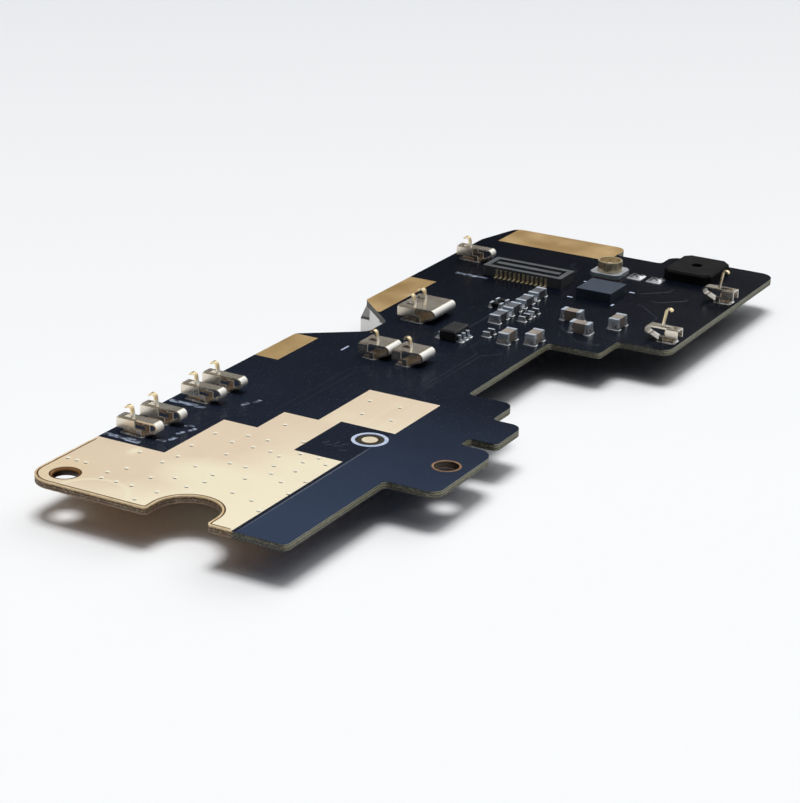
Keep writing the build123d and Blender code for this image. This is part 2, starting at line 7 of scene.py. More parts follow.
import bpy
import numpy as np
from mathutils import Matrix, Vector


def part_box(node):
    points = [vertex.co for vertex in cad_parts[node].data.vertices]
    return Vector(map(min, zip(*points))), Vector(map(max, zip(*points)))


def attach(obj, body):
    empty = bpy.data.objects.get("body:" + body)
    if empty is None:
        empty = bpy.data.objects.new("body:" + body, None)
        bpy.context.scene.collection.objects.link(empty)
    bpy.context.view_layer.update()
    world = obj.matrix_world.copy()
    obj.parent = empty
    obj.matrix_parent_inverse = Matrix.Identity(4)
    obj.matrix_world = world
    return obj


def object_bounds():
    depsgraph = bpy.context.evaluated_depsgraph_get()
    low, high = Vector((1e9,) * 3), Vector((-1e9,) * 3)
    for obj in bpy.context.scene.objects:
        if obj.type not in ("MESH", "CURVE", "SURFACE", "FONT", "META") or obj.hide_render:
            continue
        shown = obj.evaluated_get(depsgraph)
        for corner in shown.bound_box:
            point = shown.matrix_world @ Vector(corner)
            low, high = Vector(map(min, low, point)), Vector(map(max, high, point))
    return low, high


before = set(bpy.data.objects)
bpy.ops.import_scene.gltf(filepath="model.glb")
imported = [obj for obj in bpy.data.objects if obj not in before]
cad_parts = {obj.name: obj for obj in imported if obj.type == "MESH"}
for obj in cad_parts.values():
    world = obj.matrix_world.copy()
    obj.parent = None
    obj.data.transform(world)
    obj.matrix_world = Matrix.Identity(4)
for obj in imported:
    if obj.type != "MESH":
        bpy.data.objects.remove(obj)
cad_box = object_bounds()

MM = 0.001
board_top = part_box("mask_top")[1][2] / MM
board_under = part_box("mask_bottom")[0][2] / MM


def node_middle(name):
    """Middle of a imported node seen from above, in millimetres."""
    low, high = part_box(name)
    return (low[0] + high[0]) / 2 / MM, (low[1] + high[1]) / 2 / MM


edge_hole = node_middle("edge_hole_rim")
test_spot = node_middle("test_pad")


# ------------------------------------------------------------------ mesh making
def make_piece(name, points, faces, finish):
    """Puts computed points and faces into a mesh whose edges sharper than 40
    degrees stay sharp, and sets it riding on the board."""
    mesh = bpy.data.meshes.new(name)
    mesh.from_pydata((np.asarray(points).reshape(-1, 3) * MM).tolist(), [], faces)
    mesh.polygons.foreach_set("use_smooth", np.ones(len(mesh.polygons), dtype=bool))
    mesh.set_sharp_from_angle(angle=math.radians(40))
    mesh.materials.append(finish)
    made = bpy.data.objects.new(name, mesh)
    bpy.context.scene.collection.objects.link(made)
    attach(made, "root")
    return made


def grid_quads(rows, columns, closed):
    """Quads between neighbouring rows and columns of a grid; a closed grid's last
    column meets its first."""
    last = columns if closed else columns - 1
    row, column = np.meshgrid(np.arange(rows - 1), np.arange(last), indexing="ij")
    after = (column + 1) % columns
    low, high = row * columns, (row + 1) * columns
    quads = [low + column, low + after, high + after, high + column]
    return np.stack(quads, -1).reshape(-1, 4)


def raised(name, places, size, section, finish, capped=True, under=False, steps=5):
    """Low forms standing on the board, one for each place (x, y, turn).  Each row
    of the section is a rounded rectangle grown outwards by its first number, at
    the height of its second: corner centre plus (radius + growth) times the
    cosine and sine of the angle round the corner.  A size of nothing makes
    circles.  Caps are fans to a middle point."""
    length, width, radius = size
    section = np.array(section, dtype=float)
    places = np.array(places, dtype=float).reshape(-1, 3)
    angle = np.radians(90 * (np.arange(4)[:, None] + (np.arange(steps) + 0.5) / steps)).ravel()
    corner = np.repeat([(1, 1), (-1, 1), (-1, -1), (1, -1)], steps, axis=0)
    corner = corner * (length / 2 - radius, width / 2 - radius)
    reach = (radius + section[:, 0])[:, None, None]
    shape = corner + reach * np.stack([np.cos(angle), np.sin(angle)], -1)
    turn = np.radians(places[:, 2])[:, None, None]
    x = places[:, 0, None, None] + np.cos(turn) * shape[..., 0] - np.sin(turn) * shape[..., 1]
    y = places[:, 1, None, None] + np.sin(turn) * shape[..., 0] + np.cos(turn) * shape[..., 1]
    height = board_under - section[:, 1] if under else board_top + section[:, 1]
    z = np.broadcast_to(height[None, :, None], x.shape)
    ring = np.stack([x, y, z], -1)
    copies, rows, columns = x.shape
    points = ring.reshape(copies, rows * columns, 3)
    quads = grid_quads(rows, columns, True)
    stride = rows * columns
    fans = np.empty((0, 3), dtype=int)
    if capped:
        points = np.concatenate([points, ring[:, :1].mean(2), ring[:, -1:].mean(2)], 1)
        here = np.arange(columns)
        after = (here + 1) % columns
        last = (rows - 1) * columns
        low_fan = np.stack([after, here, np.full(columns, stride)], -1)
        high_fan = np.stack([last + here, last + after, np.full(columns, stride + 1)], -1)
        fans = np.concatenate([low_fan, high_fan])
        stride += 2
    shift = stride * np.arange(copies)[:, None, None]
    quads = (quads + shift).reshape(-1, 4)
    fans = (fans + shift).reshape(-1, 3)
    if under:
        quads, fans = quads[:, ::-1], fans[:, ::-1]
    return make_piece(name, points, quads.tolist() + fans.tolist(), finish)


def carried(name, path, section, finish, level, closed=False, sink=0.0):
    """A section carried along a flat path: path point, plus the section's first
    number times the path's left-hand normal, plus its second number upwards.
    Both ends of an open path sink by the amount given."""
    path = np.array(path, dtype=float)
    section = np.array(section, dtype=float)
    if closed:
        along = np.roll(path, -1, 0) - np.roll(path, 1, 0)
    else:
        along = np.gradient(path, axis=0)
    along /= np.linalg.norm(along, axis=1, keepdims=True)
    left = np.stack([-along[:, 1], along[:, 0]], -1)
    flat = path[None] + section[:, 0, None, None] * left[None]
    lift = np.broadcast_to(level + section[:, 1, None], flat.shape[:2]).copy()
    if not closed:
        lift[:, [0, -1]] -= sink
    points = np.concatenate([flat, lift[..., None]], -1)
    quads = grid_quads(len(section), len(path), closed)
    return make_piece(name, points, quads.tolist(), finish)


def arc(centre, radius, start, stop, steps):
    """Points round a circle from one angle to another, in degrees."""
    angle = np.radians(np.linspace(start, stop, steps))
    x = centre[0] + radius * np.cos(angle)
    return np.stack([x, centre[1] + radius * np.sin(angle)], -1)


def straight(start, stop, steps):
    """Evenly spaced points from one place to another."""
    return np.linspace(start, stop, steps)


def rounded_back(width, height, steps=7):
    """Half-ellipse section from the right-hand foot over the top to the left."""
    angle = np.linspace(0, math.pi, steps)
    return np.stack([-width / 2 * np.cos(angle), height * np.sin(angle)], -1)


# ---------------------------------------------------------------- node plumbing
def put(tree, kind, inputs=None, **settings):
    """Adds a node; an input is set to a number or colour, or joined to a socket."""
    made = tree.nodes.new(kind)
    for key, value in settings.items():
        setattr(made, key, value)
    for key, value in (inputs or {}).items():
        if isinstance(value, bpy.types.NodeSocket):
            tree.links.new(value, made.inputs[key])
        else:
            made.inputs[key].default_value = value
    return made


def begin_group(name, inputs, outputs):
    """An empty shader group with named sockets; inputs come with their values."""
    group = bpy.data.node_groups.new(name, "ShaderNodeTree")
    for label, value in inputs.items():
        kind = "NodeSocketColor" if isinstance(value, tuple) else "NodeSocketFloat"
        socket = group.interface.new_socket(name=label, in_out="INPUT", socket_type=kind)
        socket.default_value = value
    for label, kind in outputs.items():
        group.interface.new_socket(name=label, in_out="OUTPUT", socket_type=kind)
    take = group.nodes.new("NodeGroupInput").outputs
    return group, take, group.nodes.new("NodeGroupOutput").inputs


def object_point(tree):
    return put(tree, "ShaderNodeTexCoord").outputs["Object"]


def remap(tree, value, low, high, to_low=0.0, to_high=1.0):
    """Straight-line remapping, held at both ends."""
    inputs = {
        "Value": value,
        "From Min": low,
        "From Max": high,
        "To Min": to_low,
        "To Max": to_high,
    }
    return put(tree, "ShaderNodeMapRange", inputs).outputs["Result"]


def blend(tree, share, first, second):
    """Colour blended from the first to the second by the share."""
    made = put(tree, "ShaderNodeMix", data_type="RGBA")
    for key, value in ((0, share), (6, first), (7, second)):
        if isinstance(value, bpy.types.NodeSocket):
            tree.links.new(value, made.inputs[key])
        else:
            made.inputs[key].default_value = value
    return made.outputs[2]


def banded(tree, value, stops):
    """Colours that follow one another along a value from 0 to 1."""
    made = put(tree, "ShaderNodeValToRGB", {"Fac": value})
    elements = made.color_ramp.elements
    while len(elements) < len(stops):
        elements.new(0.5)
    for element, (place, colour) in zip(elements, stops):
        element.position = place
        element.color = colour
    return made.outputs["Color"]


def calculate(tree, operation, first, second=0.0):
    return put(tree, "ShaderNodeMath", {0: first, 1: second}, operation=operation).outputs[0]


def coordinate(tree, axis):
    """One coordinate of the surface point in millimetres."""
    split = put(tree, "ShaderNodeSeparateXYZ", {"Vector": object_point(tree)})
    return calculate(tree, "DIVIDE", split.outputs[axis], MM)


def product(tree, first, second):
    return calculate(tree, "MULTIPLY", first, second)


def off_middle(tree, value):
    """A noise's value less the half that it swings about."""
    return calculate(tree, "SUBTRACT", value, 0.5)


def noise(tree, vector, scale, detail):
    """Noise over the surface; the scale is in waves per metre."""
    inputs = {"Vector": vector, "Scale": scale, "Detail": detail}
    return put(tree, "ShaderNodeTexNoise", inputs).outputs["Fac"]


def stretched(tree, scale, turn=0.0):
    """Surface points turned about the board's normal and stretched."""
    inputs = {"Vector": object_point(tree), "Rotation": (0, 0, turn), "Scale": scale}
    return put(tree, "ShaderNodeMapping", inputs).outputs[0]


def rgb(red, green, blue):
    return (red, green, blue, 1.0)


# ---------------------------------------------------------------- shared effects
def build_surface_tone():
    """Two tones drifting into each other over a broad size, speckled at a fine
    size; gloss follows the broad drift and height follows the speckle."""
    group, take, give = begin_group(
        "surface_tone",
        {
            "Broad Scale": 200.0,
            "Fine Scale": 6000.0,
            "First Tone": rgb(0.5, 0.5, 0.5),
            "Second Tone": rgb(0.6, 0.6, 0.6),
            "Speckle": 0.1,
            "Low Roughness": 0.3,
            "High Roughness": 0.5,
        },
        {"Color": "NodeSocketColor", "Roughness": "NodeSocketFloat", "Height": "NodeSocketFloat"},
    )
    point = object_point(group)
    broad = noise(group, point, take["Broad Scale"], 3.0)
    fine = noise(group, point, take["Fine Scale"], 2.0)
    drift = remap(group, broad, 0.32, 0.68)
    tone = blend(group, drift, take["First Tone"], take["Second Tone"])
    swing = product(group, off_middle(group, fine), take["Speckle"])
    value = calculate(group, "ADD", 1.0, product(group, swing, 2.0))
    shade = put(group, "ShaderNodeHueSaturation", {"Color": tone, "Value": value})
    group.links.new(shade.outputs["Color"], give["Color"])
    spread = calculate(group, "SUBTRACT", take["High Roughness"], take["Low Roughness"])
    gloss = calculate(group, "ADD", take["Low Roughness"], product(group, spread, drift))
    group.links.new(gloss, give["Roughness"])
    group.links.new(fine, give["Height"])
    return group


def build_fine_scratches():
    """Thin hairlines: two stretched, turned noises, kept only near their ridges."""
    group, take, give = begin_group(
        "fine_scratches", {"Scale": 300.0, "Width": 0.02}, {"Mask": "NodeSocketFloat"}
    )
    lines = []
    for turn in (0.35, 1.9):
        drawn = noise(group, stretched(group, (1, 0.07, 1), turn), take["Scale"], 1.0)
        off = calculate(group, "ABSOLUTE", off_middle(group, drawn))
        line = calculate(group, "SUBTRACT", 1.0, calculate(group, "DIVIDE", off, take["Width"]))
        lines.append(calculate(group, "MAXIMUM", line, 0.0))
    group.links.new(calculate(group, "MAXIMUM", lines[0], lines[1]), give["Mask"])
    return group


def build_pressed_layers():
    """Height up a cut edge in millimetres, bent by noise so that the layers wave,
    and a mask of short bright fibre ends."""
    group, take, give = begin_group(
        "pressed_layers", {"Bend": 0.13}, {"Height": "NodeSocketFloat", "Fibre": "NodeSocketFloat"}
    )
    wave = noise(group, object_point(group), 2600.0, 4.0)
    bend = product(group, off_middle(group, wave), take["Bend"])
    group.links.new(calculate(group, "ADD", coordinate(group, "Z"), bend), give["Height"])
    fibre = noise(group, stretched(group, (1, 1, 3.5)), 6000.0, 2.0)
    group.links.new(remap(group, fibre, 0.52, 0.72), give["Fibre"])
    return group


def build_woven_cloth():
    """Plain weave: products of sines along and across, a thread every 0.2 mm."""
    group, take, give = begin_group(
        "woven_cloth",
        {"Threads": 31400.0},
        {"Mask": "NodeSocketFloat", "Height": "NodeSocketFloat"},
    )
    split = put(group, "ShaderNodeSeparateXYZ", {"Vector": object_point(group)})
    over = calculate(group, "SINE", product(group, split.outputs["X"], take["Threads"]))
    skew = calculate(group, "ADD", split.outputs["Y"], split.outputs["Z"])
    across = calculate(group, "SINE", product(group, skew, take["Threads"]))
    weave = product(group, over, across)
    group.links.new(remap(group, weave, -1.0, 1.0), give["Mask"])
    group.links.new(calculate(group, "ABSOLUTE", weave), give["Height"])
    return group


surface_tone = build_surface_tone()
fine_scratches = build_fine_scratches()
pressed_layers = build_pressed_layers()
woven_cloth = build_woven_cloth()


# ----------------------------------------------------------------------- finishes
def start_finish(name, **constants):
    """A new material, with the shader's plain values set on its own sockets."""
    finish = bpy.data.materials.new(name)
    finish.use_nodes = True
    tree = finish.node_tree
    shader = tree.nodes["Principled BSDF"]
    for key, value in constants.items():
        shader.inputs[key.replace("_", " ")].default_value = value
    return finish, tree, shader


def use_group(tree, group, **inputs):
    made = put(tree, "ShaderNodeGroup", node_tree=group)
    for key, value in inputs.items():
        made.inputs[key.replace("_", " ")].default_value = value
    return made.outputs


def set_bump(tree, shader, height, strength, distance):
    """Bump from a height, its depth given in millimetres."""
    inputs = {"Height": height, "Strength": strength, "Distance": distance * MM}
    bump = put(tree, "ShaderNodeBump", inputs)
    tree.links.new(bump.outputs["Normal"], shader.inputs["Normal"])


def toned_finish(name, first, second, broad, fine, speckle, rough, bump, **constants):
    """The usual finish: drifting tone and gloss with a fine bump.  Sizes are the
    width of the drift and of the speckle in millimetres."""
    finish, tree, shader = start_finish(name, **constants)
    tone = use_group(
        tree,
        surface_tone,
        Broad_Scale=1 / (broad * MM),
        Fine_Scale=1 / (fine * MM),
        First_Tone=first,
        Second_Tone=second,
        Speckle=speckle,
        Low_Roughness=rough[0],
        High_Roughness=rough[1],
    )
    tree.links.new(tone["Color"], shader.inputs["Base Color"])
    tree.links.new(tone["Roughness"], shader.inputs["Roughness"])
    set_bump(tree, shader, tone["Height"], 0.5, bump)
    return finish, tree, shader, tone


def distance_from(tree, x, y, stretch=(1.0, 1.0)):
    """Millimetres from a point of the board, measured in a stretched plane."""
    placed = put(
        tree,
        "ShaderNodeMapping",
        {
            "Vector": object_point(tree),
            "Location": (-x * stretch[0], -y * stretch[1], 0),
            "Scale": (stretch[0] / MM, stretch[1] / MM, 0),
        },
    )
    length = put(tree, "ShaderNodeVectorMath", {0: placed.outputs[0]}, operation="LENGTH")
    return length.outputs["Value"]


def side_facing(tree, direction):
    """How far the surface faces a direction of the board, from -1 to 1."""
    normal = put(tree, "ShaderNodeTexCoord").outputs["Normal"]
    facing = put(
        tree, "ShaderNodeVectorMath", {0: normal, 1: direction}, operation="DOT_PRODUCT"
    )
    return facing.outputs["Value"]


def ground_gold(name, rosy, creamy):
    """Immersion gold over a wide copper pour: rosy beige towards the left and the
    far end, cream towards the near right, yellower round the corner hole, with a
    paler oval and arc, a painted reflection of a spring's highlight as a pale
    spot, and a few faint hairlines."""
    finish, tree, shader, tone = toned_finish(
        name,
        rosy,
        rosy,
        broad=9.0,
        fine=0.09,
        speckle=0.08,
        rough=(0.38, 0.50),
        bump=0.005,
        Metallic=0.10,
    )
    drift = noise(tree, object_point(tree), 170.0, 2.0)
    lean = product(tree, coordinate(tree, "Y"), 0.45)
    slope = calculate(tree, "SUBTRACT", coordinate(tree, "X"), lean)
    slope = calculate(tree, "ADD", slope, remap(tree, drift, 0.3, 0.7, -2.5, 2.5))
    cream = blend(tree, remap(tree, slope, 1.5, 8.5), tone["Color"], creamy)
    oval = remap(tree, distance_from(tree, 8.2, 4.6, (1.0, 1.5)), 1.6, 4.4, 0.85, 0.0)
    # Painted reflection: a pale spot just in front of the nearest spring, where its bright fold
    # shows in the gold.
    glint = remap(tree, distance_from(tree, 1.5, 5.4, (1.6, 1.0)), 0.2, 0.9, 0.8, 0.0)
    from_arc = calculate(tree, "SUBTRACT", distance_from(tree, 3.3, -2.0), 2.5)
    pale_arc = remap(tree, calculate(tree, "ABSOLUTE", from_arc), 0.05, 0.28, 0.6, 0.0)
    pale = calculate(tree, "MAXIMUM", calculate(tree, "MAXIMUM", oval, glint), pale_arc)
    corner = remap(tree, distance_from(tree, -0.7, 0.3), 1.1, 2.8, 0.55, 0.0)
    hole_yellowed = blend(tree, corner, cream, rgb(0.88, 0.71, 0.43))
    # The paler oval and arc and the painted reflection of the spring's highlight are laid over the
    # gold here.
    rubbed = blend(tree, pale, hole_yellowed, rgb(1.0, 0.92, 0.68))
    lines = use_group(tree, fine_scratches, Scale=180.0, Width=0.006)["Mask"]
    marked = blend(tree, product(tree, lines, 0.16), rubbed, rgb(1.0, 0.92, 0.74))
    tree.links.new(marked, shader.inputs["Base Color"])
    return finish


def navy_mask():
    """Navy solder mask: bluer along the near right side, partly for the copper
    under it and partly as painted sheen, darker towards the far end, with faint dust."""
    finish, tree, shader, tone = toned_finish(
        "navy_mask",
        rgb(0.0105, 0.0150, 0.0270),
        rgb(0.0135, 0.0190, 0.0335),
        broad=7.0,
        fine=0.12,
        speckle=0.30,
        rough=(0.20, 0.26),
        bump=0.003,
        Specular_IOR_Level=0.12,
    )
    # Bluer along the near right side: partly copper under the mask, partly painted sheen.
    side = remap(tree, coordinate(tree, "X"), 14.05, 14.25)
    near = remap(tree, coordinate(tree, "Y"), 26.0, 2.0)
    copper = product(tree, side, near)
    copper_and_sheen = blend(tree, copper, tone["Color"], rgb(0.0360, 0.0535, 0.0960))
    far = remap(tree, coordinate(tree, "Y"), 18.0, 52.0)
    darkened = blend(tree, far, copper_and_sheen, rgb(0.0030, 0.0043, 0.0085))
    grains = remap(tree, noise(tree, object_point(tree), 9000.0, 0.0), 0.74, 0.82, 0.0, 0.4)
    dusty = blend(tree, grains, darkened, rgb(0.07, 0.085, 0.13))
    tree.links.new(dusty, shader.inputs["Base Color"])
    return finish


def laminate_edge():
    """Cut edge of the board, in bands up its height that noise bends: dark resin
    and glass under the mask, a paler copy of the bands painted as light on the
    walls that face right, brown and gold where they border the bare ground area,
    and painted shade making them nearly black in the two holes.  Bright fibre
    ends speckle them all."""
    finish, tree, shader = start_finish("laminate_edge")
    layers = use_group(tree, pressed_layers)
    height = remap(tree, layers["Height"], 0.0, board_top)
    bare = banded(
        tree,
        height,
        [
            (0.00, rgb(0.020, 0.018, 0.013)),
            (0.16, rgb(0.060, 0.052, 0.034)),
            (0.34, rgb(0.015, 0.014, 0.010)),
            (0.58, rgb(0.080, 0.074, 0.050)),
            (0.76, rgb(0.018, 0.018, 0.014)),
            (0.90, rgb(0.012, 0.013, 0.015)),
            (0.97, rgb(0.210, 0.225, 0.215)),
        ],
    )
    # Painted light: a paler, lit copy of the bands for the walls that face right.
    outer = banded(
        tree,
        height,
        [
            (0.00, rgb(0.060, 0.056, 0.036)),
            (0.18, rgb(0.190, 0.180, 0.105)),
            (0.36, rgb(0.042, 0.040, 0.026)),
            (0.58, rgb(0.340, 0.325, 0.200)),
            (0.74, rgb(0.045, 0.044, 0.030)),
            (0.90, rgb(0.380, 0.375, 0.260)),
            (0.97, rgb(0.290, 0.300, 0.260)),
        ],
    )
    outward = remap(tree, side_facing(tree, (1, 0, 0)), 0.3, 0.8, 0.0, 0.85)
    bare = blend(tree, outward, bare, outer)
    bare = blend(tree, product(tree, layers["Fibre"], 0.50), bare, rgb(0.48, 0.47, 0.33))
    plated = banded(
        tree,
        height,
        [
            (0.00, rgb(0.240, 0.175, 0.135)),
            (0.13, rgb(0.190, 0.140, 0.105)),
            (0.28, rgb(0.060, 0.038, 0.022)),
            (0.44, rgb(0.230, 0.150, 0.080)),
            (0.58, rgb(0.080, 0.044, 0.020)),
            (0.70, rgb(0.024, 0.009, 0.003)),
            (0.80, rgb(0.560, 0.370, 0.180)),
            (0.93, rgb(0.820, 0.620, 0.350)),
        ],
    )
    plated = blend(tree, product(tree, layers["Fibre"], 0.55), plated, rgb(0.78, 0.65, 0.48))
    left = remap(tree, coordinate(tree, "X"), 13.95, 13.80)
    front = remap(tree, coordinate(tree, "Y"), 6.3, 6.1)
    share = product(tree, left, front)
    # Painted shade: the walls inside the two holes darken nearly to black.
    corner_bore = remap(tree, distance_from(tree, 0.0, 0.0), 1.20, 1.10, 0.0, 0.7)
    edge_bore = remap(tree, distance_from(tree, *edge_hole), 1.10, 1.00, 0.0, 0.8)
    shaded_in_holes = calculate(tree, "MAXIMUM", corner_bore, edge_bore)
    tone = blend(tree, shaded_in_holes, blend(tree, share, bare, plated), rgb(0.040, 0.017, 0.008))
    tree.links.new(tone, shader.inputs["Base Color"])
    tree.links.new(product(tree, share, 0.35), shader.inputs["Metallic"])
    tree.links.new(remap(tree, layers["Fibre"], 0.0, 1.0, 0.62, 0.40), shader.inputs["Roughness"])
    set_bump(tree, shader, layers["Fibre"], 0.6, 0.015)
    return finish


def gasket_cloth():
    """Conductive cloth: bright metal threads over a dark weave."""
    finish, tree, shader = start_finish("gasket_cloth", Sheen_Weight=0.2)
    weave = use_group(tree, woven_cloth)
    tone = blend(tree, weave["Mask"], rgb(0.16, 0.16, 0.165), rgb(0.42, 0.42, 0.44))
    tree.links.new(tone, shader.inputs["Base Color"])
    tree.links.new(remap(tree, weave["Mask"], 0.0, 1.0, 0.45, 0.62), shader.inputs["Roughness"])
    tree.links.new(product(tree, weave["Mask"], 0.7), shader.inputs["Metallic"])
    set_bump(tree, shader, weave["Height"], 0.7, 0.03)
    return finish


def spring_gold():
    """Bright gold over nickel on the springs, with painted shade making it browner
    low down in the lee of its own folds, a painted highlight making it pale and
    matt round the outside of the folds, and yellower at the raised tips."""
    finish, tree, shader, tone = toned_finish(
        "spring_gold",
        rgb(0.90, 0.80, 0.65),
        rgb(0.98, 0.90, 0.77),
        broad=1.6,
        fine=0.05,
        speckle=0.05,
        rough=(0.20, 0.27),
        bump=0.002,
    )
    # Painted shade: browner low down, in the lee of the strip's folds.
    low = remap(tree, coordinate(tree, "Z"), board_top + 0.1, board_top + 0.65, 0.6, 0.0)
    shaded_low = blend(tree, low, tone["Color"], rgb(0.52, 0.35, 0.20))
    # Painted highlight: the outside of each fold is pale and matt.
    fold = remap(tree, side_facing(tree, (1, 0, 0)), 0.05, 0.45)
    fold_highlight = blend(tree, fold, shaded_low, rgb(1.0, 0.99, 0.94))
    tip = remap(tree, coordinate(tree, "Z"), board_top + 1.25, board_top + 1.5)
    yellowed = blend(tree, tip, fold_highlight, rgb(0.98, 0.80, 0.48))
    tree.links.new(yellowed, shader.inputs["Base Color"])
    tree.links.new(remap(tree, fold, 0.0, 1.0, 0.80, 0.0), shader.inputs["Metallic"])
    return finish


def via_gold():
    """Gold over the plugged vias, with painted shade darkening the side that faces
    the front right corner."""
    finish, tree, shader, tone = toned_finish(
        "via_gold",
        rgb(1.0, 0.94, 0.74),
        rgb(1.0, 0.97, 0.84),
        broad=0.5,
        fine=0.05,
        speckle=0.05,
        rough=(0.25, 0.35),
        bump=0.002,
    )
    # Painted shade: the side of each dome towards the front right goes dark brown.
    near_side_shade = remap(tree, side_facing(tree, (0.49, -0.87, 0)), 0.55, 0.75)
    dark_edged = blend(tree, near_side_shade, tone["Color"], rgb(0.08, 0.025, 0.009))
    tree.links.new(dark_edged, shader.inputs["Base Color"])
    return finish


def plated_bore():
    """Copper-brown plating of the corner hole: orange on the countersink, with a
    brown rim, and painted shade darkening the bore nearly to black."""
    finish, tree, shader, tone = toned_finish(
        "plated_bore",
        rgb(0.30, 0.135, 0.042),
        rgb(0.46, 0.235, 0.085),
        broad=0.6,
        fine=0.05,
        speckle=0.15,
        rough=(0.32, 0.45),
        bump=0.004,
        Metallic=0.3,
    )
    rim = remap(tree, distance_from(tree, 0, 0), 0.92, 0.98)
    dark_edged = blend(tree, rim, tone["Color"], rgb(0.10, 0.042, 0.015))
    # Painted shade: the bore darkens nearly to black with depth.
    deep = remap(tree, coordinate(tree, "Z"), board_top - 0.07, board_top - 0.20)
    darkened = blend(tree, deep, dark_edged, rgb(0.022, 0.009, 0.004))
    tree.links.new(darkened, shader.inputs["Base Color"])
    return finish


def copper_rim():
    """Copper edge of the second hole, with solder mask lapping over the outer
    part of its ring."""
    finish, tree, shader, tone = toned_finish(
        "copper_rim",
        rgb(0.26, 0.135, 0.070),
        rgb(0.42, 0.240, 0.130),
        broad=0.4,
        fine=0.05,
        speckle=0.2,
        rough=(0.40, 0.55),
        bump=0.004,
    )
    lapped = remap(tree, distance_from(tree, *edge_hole), 0.95, 0.99)
    masked = blend(tree, lapped, tone["Color"], rgb(0.014, 0.020, 0.036))
    tree.links.new(masked, shader.inputs["Base Color"])
    return finish


def simple_finishes():
    """Finishes that need nothing beyond the usual drift, speckle and bump.  Each
    gives its two tones, the widths of the drift and the speckle, the strength of
    the speckle, the least and greatest roughness, the depth of the bump and the
    shader's plain values."""
    table = {
        "edge_gold": (
            (0.66, 0.42, 0.17), (0.80, 0.56, 0.27),
            2.5, 0.08, 0.12, (0.32, 0.48), 0.005, {"Metallic": 0.55},
        ),
        "bead_gold": (
            (0.76, 0.54, 0.28), (0.95, 0.78, 0.50),
            0.6, 0.05, 0.10, (0.34, 0.44), 0.003, {"Metallic": 0.2},
        ),
        "spot_gold": (
            (0.95, 0.80, 0.56), (1.0, 0.90, 0.68),
            0.5, 0.05, 0.06, (0.34, 0.44), 0.003, {"Metallic": 0.25},
        ),
        "bare_moat": (
            (0.022, 0.017, 0.008), (0.040, 0.031, 0.015),
            0.4, 0.05, 0.2, (0.45, 0.6), 0.004, {},
        ),
        "bright_gold": (
            (0.88, 0.72, 0.46), (0.97, 0.86, 0.62),
            0.7, 0.05, 0.06, (0.26, 0.36), 0.0008, {"Metallic": 0.7},
        ),
        "edge_stain": (
            (0.07, 0.028, 0.010), (0.14, 0.062, 0.024),
            0.5, 0.05, 0.2, (0.4, 0.6), 0.002, {},
        ),
        "solder": (
            (0.60, 0.62, 0.66), (0.76, 0.78, 0.81),
            0.5, 0.04, 0.10, (0.20, 0.34), 0.004, {"Metallic": 0.85},
        ),
        "tinned_end": (
            (0.58, 0.66, 0.76), (0.72, 0.79, 0.88),
            0.4, 0.04, 0.08, (0.30, 0.45), 0.0015, {"Metallic": 0.30},
        ),
        "tan_ceramic": (
            (0.29, 0.245, 0.21), (0.37, 0.32, 0.28),
            0.6, 0.03, 0.10, (0.45, 0.6), 0.004, {},
        ),
        "grey_ferrite": (
            (0.10, 0.105, 0.12), (0.15, 0.16, 0.18),
            0.6, 0.04, 0.15, (0.4, 0.55), 0.005, {},
        ),
        "resistor_glass": (
            (0.012, 0.012, 0.014), (0.022, 0.022, 0.026),
            0.6, 0.04, 0.1, (0.2, 0.3), 0.002, {"Coat_Weight": 0.4},
        ),
        # The controller's bluish grey is partly its own colour and partly painted sheen on its
        # top.
        "controller_slate": (
            (0.036, 0.050, 0.076), (0.049, 0.068, 0.102),
            0.8, 0.05, 0.2, (0.45, 0.6), 0.004, {},
        ),
        "moulded_black": (
            (0.016, 0.016, 0.018), (0.026, 0.026, 0.029),
            0.8, 0.05, 0.2, (0.45, 0.6), 0.006, {},
        ),
        "connector_black": (
            (0.085, 0.092, 0.100), (0.112, 0.120, 0.130),
            0.8, 0.05, 0.15, (0.4, 0.55), 0.004, {},
        ),
        "grey_nylon": (
            (0.36, 0.37, 0.39), (0.46, 0.47, 0.49),
            0.9, 0.05, 0.06, (0.4, 0.5), 0.003, {"Subsurface_Weight": 0.1},
        ),
        "nickel_shell": (
            (0.56, 0.55, 0.53), (0.70, 0.69, 0.67),
            2.0, 0.05, 0.08, (0.24, 0.36), 0.003, {"Metallic": 1.0},
        ),
        "boot_rubber": (
            (0.006, 0.006, 0.006), (0.012, 0.012, 0.013),
            1.2, 0.05, 0.2, (0.6, 0.8), 0.010, {"Specular_IOR_Level": 0.2},
        ),
        "printed_ink": (
            (0.46, 0.56, 0.76), (0.58, 0.66, 0.82),
            0.5, 0.05, 0.20, (0.5, 0.65), 0.006, {},
        ),
        "buried_copper": (
            (0.0090, 0.0130, 0.0245), (0.0120, 0.0170, 0.0310),
            2.0, 0.10, 0.2, (0.20, 0.26), 0.003, {},
        ),
        "pour_rim": (
            (0.060, 0.072, 0.105), (0.085, 0.100, 0.140),
            2.0, 0.10, 0.2, (0.30, 0.40), 0.003, {},
        ),
    }
    made = {}
    for name, (first, second, *measures, constants) in table.items():
        made[name] = toned_finish(name, rgb(*first), rgb(*second), *measures, **constants)[0]
    return made


def worn_print():
    """Printed marks rubbed thin: noise drawn out along the board lets the navy
    mask show through a bluish-white ink."""
    finish, tree, shader = start_finish("worn_print", Roughness=0.5)
    left = remap(tree, noise(tree, stretched(tree, (0.45, 1, 1)), 5200.0, 2.0), 0.44, 0.62)
    tone = blend(tree, left, rgb(0.020, 0.028, 0.048), rgb(0.36, 0.43, 0.56))
    tree.links.new(tone, shader.inputs["Base Color"])
    return finish


finishes = simple_finishes()
finishes["worn_print"] = worn_print()
